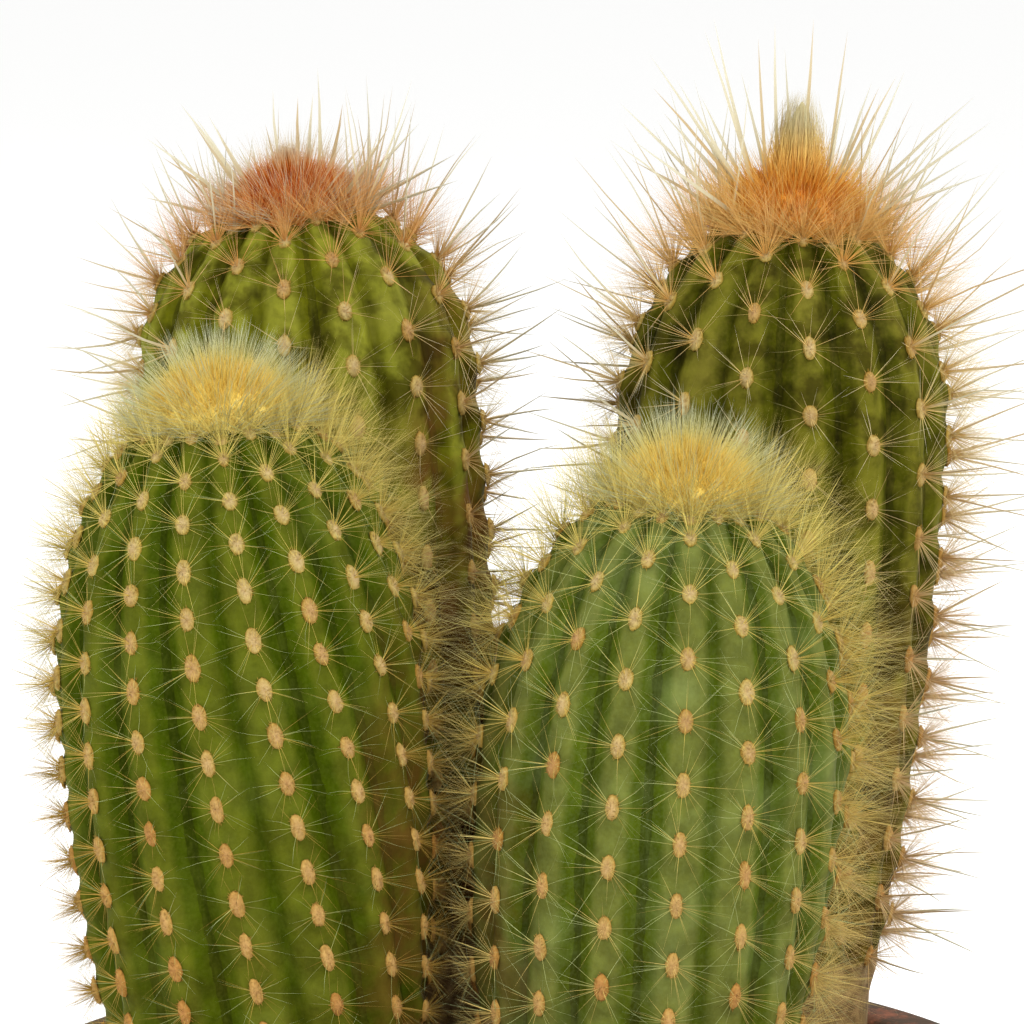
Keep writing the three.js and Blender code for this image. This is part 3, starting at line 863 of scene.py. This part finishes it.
def clay_material():
    """Unglazed clay: cloudy orange, with pale lime stains under the rim and at the foot, fine turning
    lines, and soil on top of the rim."""
    paint = Paint("terracotta")
    cloud = paint.noise(14, 5, 0.6)
    clay = paint.ramp(cloud, (0.3, (150, 82, 52)), (0.55, (176, 102, 66)), (0.8, (196, 124, 84)))
    grit = paint.ramp(paint.noise(1100), (0.3, (190, 184, 180)), (0.7, 255))
    clay = paint.darken(clay, grit)
    where = paint.where()
    up = paint.add("ShaderNodeSeparateXYZ", Vector=where).outputs["Z"]
    span = {"Value": up, "From Min": 0.0, "From Max": POT["height"] * MM}
    height = paint.add("ShaderNodeMapRange", **span).outputs["Result"]
    stained = paint.ramp(height, (0, 190), (0.16, 20), (0.7, 10), (0.86, 150), (0.96, 40))
    stains = paint.ramp(paint.noise(38, 6, 0.7), (0.5, 0), (0.68, 255))
    lime = paint.product(paint.product(stained, stains), 0.75)
    clay = paint.mix(lime, clay, (214, 196, 176))
    top = paint.ramp(height, (0.978, 0), (0.996, 255))
    crumbs = paint.ramp(paint.noise(160, 5, 0.7), (0.3, 170), (0.5, 255))
    clay = paint.mix(paint.product(top, crumbs), clay, (64, 44, 24))
    waves = dict(wave_type="BANDS", bands_direction="Z", Scale=150, Distortion=1.2, Detail=2, Vector=where)
    lines = paint.add("ShaderNodeTexWave", **waves).outputs["Fac"]
    first = paint.bump(lines, 0.0002, 0.35)
    paint.bump(paint.noise(900, 4), 0.0003, 0.6, first)
    return paint.finish(clay, 0.88, 0.3)


# ---- The plants ----


def build_plant(name, plant, look, number):
    """The pieces of one plant, each in place of its stem's or its crown's solid."""
    rng = np.random.default_rng(SEED + 100 * number)
    stem = f"stem_{name}"
    crown = f"crown_{name}"
    slot = look["slot"]

    def grow(kind, paths, radii, material, node, **more):
        made = strand_piece(f"{kind}_{name}", plant, paths, radii, material, slot, rng, **more)
        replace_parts(made, node)

    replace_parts(skin_piece(f"skin_{name}", plant, look), stem)
    places = areoles_of(plant, look, rng)
    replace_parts(areole_piece(name, plant, places, rng), stem)

    tones = look["spine_tones"]
    aged = dict(young=look["young"], old=look["old"])
    radial = strand_material(f"radial_{name}", look["radial"], tones)
    spine = strand_material(f"spine_{name}", look["spine"], tones, aged)
    central = spine
    if look["long_spines"]:
        central = strand_material(f"long_spine_{name}", LONG_SPINE, tones)
    kinds = dict(radials=((50, 80), 3, radial), hairs=((3, 72), 2, spine), centrals=((4, 30), 4, central))
    for (kind, (tilt, steps, material)), thick in zip(kinds.items(), look["thick"]):
        paths, ages = spine_paths(plant, look, places, kind, tilt, steps, rng)
        grow(kind, paths, thick * rng.uniform(0.8, 1.25, len(paths)), material, stem, ages=ages)

    wool = strand_material(f"wool_{name}", look["crown"], look["crown_tones"])
    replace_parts(crown_core_piece(f"core_{name}", plant, look, wool), crown)
    paths = crown_paths(plant, look, WOOL["hairs"], WOOL["hair_length"], 0.4, 3, rng)
    grow("wool", paths, WOOL["hair_radius"], wool, crown, shade=crown_shade(plant, look, WOOL["shade"]))
    paths = crown_paths(plant, look, look["bristles"], look["bristle_length"], 0.13, 4, rng, WOOL["clumps"])
    if look["tuft"]:
        paths = np.concatenate([paths, tuft_paths(plant, look, rng)])
    grow("bristles", paths, WOOL["bristle_radius"], wool, crown, shade=crown_shade(plant, look))
    if look["long_spines"]:
        grow("long_spines", long_spine_paths(plant, look, rng), WOOL["long_radius"], central, crown)


# ---- The soil ----


def soil_piece(material):
    rings, columns = 90, 240
    bottom = POT["floor"] + GAP
    radius = SOIL_RADIUS * np.linspace(1, rings, rings) / rings
    flat = around_axis(*grid(radius, whole_turn(columns)), 0.0)
    lumps = 0.8 * ripple(flat, 13, SEED + 5) + 0.45 * ripple(flat, 5, SEED + 6)
    lumps = lumps + 0.25 * ripple(flat, 2.4, SEED + 7)
    top = flat + UP * (soil_height(flat[:, 0], flat[:, 1]) + lumps - 0.4)[:, None]
    low = (wall_radius(bottom) - POT["wall"] - GAP) / SOIL_RADIUS
    base = top[-columns:] * [low, low, 0] + [0, 0, bottom]
    points = np.concatenate([top, base, [[0, 0, soil_height(0, 0)], [0, 0, bottom]]])
    return new_piece("soil_bed", points, closed_faces(rings + 1, columns), material)


def cut_holes(soil):
    """Cuts a round hole for each stem out of the soil."""
    columns = 64
    low, high = -STEM["buried"] - GAP, 16
    parts = []
    faces = []
    for plant in PLANTS.values():
        ring = around_axis(plant["foot"] + GAP, whole_turn(columns), 0.0)
        points = np.concatenate([ring + UP * high, ring + UP * low, [UP * high, UP * low]])
        faces += closed_faces(2, columns, len(parts) * len(points))
        parts.append(to_pot(plant, points))
    mesh = bpy.data.meshes.new("holes")
    faces = [face.tolist() for part in faces for face in part]
    mesh.from_pydata((np.concatenate(parts) * MM).tolist(), [], faces)
    cutter = add_object("holes", mesh)
    cut = soil.modifiers.new("holes", "BOOLEAN")
    cut.operation = "DIFFERENCE"
    cut.solver = "EXACT"
    cut.object = cutter
    bpy.context.view_layer.objects.active = soil
    bpy.ops.object.modifier_apply(modifier=cut.name)
    bpy.data.objects.remove(cutter)
    bpy.data.meshes.remove(mesh)


def grain_points():
    """The corners and faces of a twenty-sided grain."""
    golden = (1 + math.sqrt(5)) / 2
    corners = [(-1, golden, 0), (1, golden, 0), (-1, -golden, 0), (1, -golden, 0)]
    corners = corners + [(z, x, y) for x, y, z in corners] + [(y, z, x) for x, y, z in corners]
    corners = unit(np.array(corners, dtype=float))
    faces = []
    for a, b, c in itertools.permutations(range(len(corners)), 3):
        sides = [np.linalg.norm(corners[i] - corners[j]) for i, j in ((a, b), (b, c), (c, a))]
        outward = np.dot(np.cross(corners[b] - corners[a], corners[c] - corners[a]), corners[a]) > 0
        if a < min(b, c) and max(sides) < 1.1 and outward:
            faces.append((a, b, c))
    return corners, np.array(faces)


def grains_piece(name, count, size, flat, material, seed):
    """Loose grains that lie on the soil between the stems. size is their smallest and largest radius,
    and flat their least thickness as a share of it."""
    rng = np.random.default_rng(seed)
    corners, faces = grain_points()
    spread = np.sqrt(rng.uniform(0, 1, count * 3)) * (SOIL_RADIUS - 2.5)
    angle = rng.uniform(0, 2 * np.pi, count * 3)
    x, y = spread * np.cos(angle), spread * np.sin(angle)
    places = np.stack([x, y, soil_height(x, y)], axis=1)
    for plant in PLANTS.values():
        places = places[from_stem(plant, places)[0] > plant["foot"] + 2.0]
    places = places[:count]
    count = len(places)
    turns = np.linalg.qr(rng.normal(size=(count, 3, 3)))[0]
    scale = rng.uniform(size[0], size[1], (count, 1, 1)) * rng.uniform(flat, 1.0, (count, 1, 3))
    per = len(corners)
    shaped = corners[None] * scale * rng.uniform(0.75, 1.2, (count, per, 1))
    handed = np.sign(np.linalg.det(turns))[:, None, None]
    points = np.einsum("nij,nkj->nki", turns * handed, shaped) + places[:, None] + [0, 0, 0.25]
    start = (np.arange(count) * per)[:, None, None]
    tone = dict(tone=np.repeat(rng.uniform(0, 1, count), per))
    all_faces = (start + faces[None]).reshape(-1, 3)
    return new_piece(name, points.reshape(-1, 3), [all_faces], material, tone, smooth=False)


def build_soil():
    bed = soil_piece(soil_material())
    cut_holes(bed)
    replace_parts(bed, "soil")
    bark = grain_material("bark", [(0, (52, 34, 20)), (0.5, (96, 66, 40)), (1, (142, 104, 66))])
    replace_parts(grains_piece("bark", 1500, (0.8, 2.6), 0.4, bark, SEED + 11), "soil")
    grit = grain_material("grit", [(0, (120, 112, 100)), (0.5, (168, 158, 142)), (1, (206, 198, 184))])
    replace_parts(grains_piece("grit", 420, (0.5, 1.3), 0.7, grit, SEED + 12), "soil")


# ---- The pot ----


def rounded(corners):
    """A closed outline through (radius, height, rounding) corners, with five points to each corner."""
    places, rounding = np.split(np.array(corners, dtype=float), [2], axis=1)
    start = places + unit(np.roll(places, 1, axis=0) - places) * rounding
    end = places + unit(np.roll(places, -1, axis=0) - places) * rounding
    share = np.linspace(0, 1, 5)[:, None]
    return curve(share, start[:, None], places[:, None], end[:, None]).reshape(-1, 2)


def pot_piece(material):
    columns, longest = 200, 6
    height, rim, edge = POT["height"], POT["rim"], POT["edge"]
    band_foot = height - POT["band"]
    inside = wall_radius(height) - POT["wall"]
    corners = [
        (POT["drain"], POT["floor"], 0.8),
        (wall_radius(POT["floor"]) - POT["wall"], POT["floor"], 3),
        (inside, height, 2 * edge),
        (rim, height, 2 * edge),
        (rim, band_foot, 2 * edge),
        (wall_radius(band_foot), band_foot, edge),
        (POT["foot"], 0, edge),
        (POT["drain"], 0, 0.8),
    ]
    outline = rounded(corners)
    profile = []
    for start, end in zip(outline, np.roll(outline, -1, axis=0)):
        pieces = max(1, round(np.linalg.norm(end - start) / longest))
        profile += [start + (end - start) * k / pieces for k in range(pieces)]
    profile = np.array(profile)
    points = around_axis(profile[:, :1], whole_turn(columns), profile[:, 1:]).reshape(-1, 3)
    wobble = 0.12 * ripple(points, 60, SEED + 8) * smoothstep(points[:, 2], 0.5, 12)
    points = points + sideways(points) * wobble[:, None]
    rows = len(profile)
    first = np.arange(columns)
    last = first + (rows - 1) * columns
    closing = np.stack([last, first, np.roll(first, -1), np.roll(last, -1)], axis=1)
    return new_piece("clay_pot", points, [grid_faces(rows, columns), closing], material)


# ---- Camera, lights and floor ----

TARGET_HEIGHT = 275
CAMERA_DISTANCE = 900
CAMERA_ELEVATION = 10
PHOTO_SIDE = 1024  # pixels
PIXELS_PER_MM = 5.75  # on the front row of stems
FRONT_ROW = 31  # how far in front of the target the front row stands
LIT = (0, 0, 0.25)  # the stems' middle, in metres
FLOOR_SIDE = 12  # metres


def set_camera():
    elevation = math.radians(CAMERA_ELEVATION)
    focal_pixels = PIXELS_PER_MM * (CAMERA_DISTANCE - FRONT_ROW * math.cos(elevation))
    data = bpy.data.cameras.new("camera")
    data.lens = focal_pixels / PHOTO_SIDE * data.sensor_width
    data.clip_start = 0.05
    data.clip_end = 20
    camera = add_object("camera", data)
    height = TARGET_HEIGHT + CAMERA_DISTANCE * math.sin(elevation)
    camera.location = (0, -CAMERA_DISTANCE * math.cos(elevation) * MM, height * MM)
    camera.rotation_euler = (math.pi / 2 - elevation, 0, 0)
    bpy.context.scene.camera = camera


def add_light(name, place, size, watts):
    """A round lamp that shines on the stems. Its place and size are in metres."""
    data = bpy.data.lights.new(name, "AREA")
    data.shape = "DISK"
    data.size = size
    data.energy = watts
    lamp = add_object(name, data)
    lamp.location = place
    lamp.rotation_euler = (Vector(LIT) - Vector(place)).to_track_quat("-Z", "Y").to_euler()


def set_stage():
    scene = bpy.context.scene
    scene.view_settings.view_transform = "Standard"
    world = bpy.data.worlds.new("studio")
    world.use_nodes = True
    world.node_tree.nodes["Background"].inputs["Color"].default_value = (1, 1, 1, 1)
    scene.world = world
    bpy.ops.mesh.primitive_plane_add(size=FLOOR_SIDE, location=(0, 0, -0.0002))
    floor = bpy.context.object
    floor.name = "floor"
    floor.data.materials.append(Paint("floor").finish((250, 250, 249), 0.9))
    add_light("key", (0.9, -1.5, 1.45), 1.1, 38)
    add_light("fill", (-1.6, -0.9, 0.9), 1.2, 17)
    add_light("back", (1.0, 1.4, 1.4), 1.2, 18)


# ---- The whole ----

set_camera()
for plant in PLANTS.values():
    measure_outline(plant)
for number, (name, plant) in enumerate(PLANTS.items()):
    build_plant(name, plant, LOOKS[name], number)
build_soil()
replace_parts(pot_piece(clay_material()), "pot")
set_stage()
